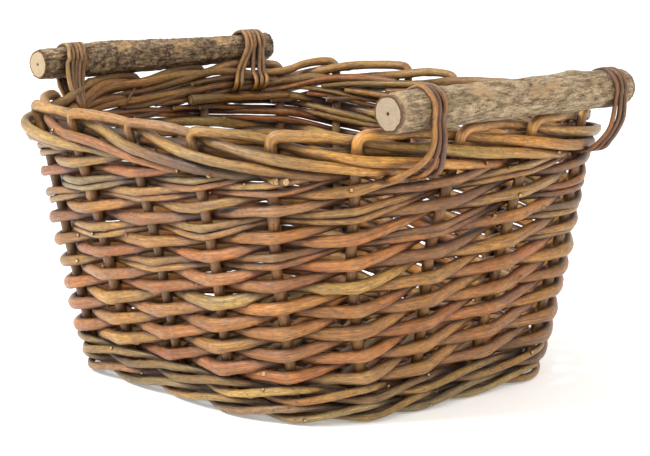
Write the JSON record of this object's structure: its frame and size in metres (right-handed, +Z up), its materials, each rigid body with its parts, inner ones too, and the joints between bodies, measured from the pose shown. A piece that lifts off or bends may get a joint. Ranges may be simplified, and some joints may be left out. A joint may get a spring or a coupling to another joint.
{
  "type": "egg collection basket",
  "caption": "Woven willow basket with a rounded-square open top, flared wall, rod border, flat woven base and two bark-on log handles lashed on its rim.",
  "frame": {"origin": "on the floor under the middle of the basket's overall box", "axes": "+Z up, +Y along both handle logs, +X from the left handle to the right one"},
  "size_m": [0.3464, 0.3296, 0.2012],
  "materials": {
    "base_wood": "peeled and aged hazel sticks, dull",
    "base_willow": "willow with the bark on, dull brown",
    "waling_willow": "thin green-brown willow with the bark on, satin",
    "stake_willow": "olive-brown willow with the bark on, satin",
    "weaver_willow": "orange-brown willow with the bark on, satin, each rod its own shade",
    "log_bark_pale": "grey-tan branch with cracked bark and pale cut ends",
    "log_bark_dark": "dark mottled branch with rough bark and pale yellow cut ends",
    "lashing_willow": "split willow strand, warm brown, satin"
  },
  "bodies": {
    "root": {"base_stick_1": "base_wood", "base_stick_2": "base_wood", "base_stick_3": "base_wood", "base_stick_4": "base_wood", "base_stick_5": "base_wood", "base_stick_6": "base_wood", "base_stick_7": "base_wood", "base_weavers": "base_willow", "waling_rod_1": "waling_willow", "waling_rod_2": "waling_willow", "waling_rod_3": "waling_willow", "waling_rod_4": "waling_willow", "waling_rod_5": "waling_willow", "waling_rod_6": "waling_willow", "side_stake_01": "stake_willow", "side_stake_02": "stake_willow", "side_stake_03": "stake_willow", "side_stake_04": "stake_willow", "side_stake_05": "stake_willow", "side_stake_06": "stake_willow", "side_stake_07": "stake_willow", "side_stake_08": "stake_willow", "side_stake_09": "stake_willow", "side_stake_10": "stake_willow", "side_stake_11": "stake_willow", "side_stake_12": "stake_willow", "side_stake_13": "stake_willow", "side_stake_14": "stake_willow", "side_stake_15": "stake_willow", "side_stake_16": "stake_willow", "side_stake_17": "stake_willow", "side_stake_18": "stake_willow", "wall_weaver_01": "weaver_willow", "wall_weaver_02": "weaver_willow", "wall_weaver_03": "weaver_willow", "wall_weaver_04": "weaver_willow", "wall_weaver_05": "weaver_willow", "wall_weaver_06": "weaver_willow", "wall_weaver_07": "weaver_willow", "wall_weaver_08": "weaver_willow", "wall_weaver_09": "weaver_willow", "wall_weaver_10": "weaver_willow", "wall_weaver_11": "weaver_willow", "wall_weaver_12": "weaver_willow", "wall_weaver_13": "weaver_willow", "wall_weaver_14": "weaver_willow", "wall_weaver_15": "weaver_willow", "wall_weaver_16": "weaver_willow", "wall_weaver_17": "weaver_willow", "wall_weaver_18": "weaver_willow", "handle_log_right": "log_bark_pale", "handle_log_left": "log_bark_dark", "lashing_right_near": "lashing_willow", "lashing_right_far": "lashing_willow", "lashing_left_near": "lashing_willow", "lashing_left_far": "lashing_willow"}
  },
  "joints": []
}
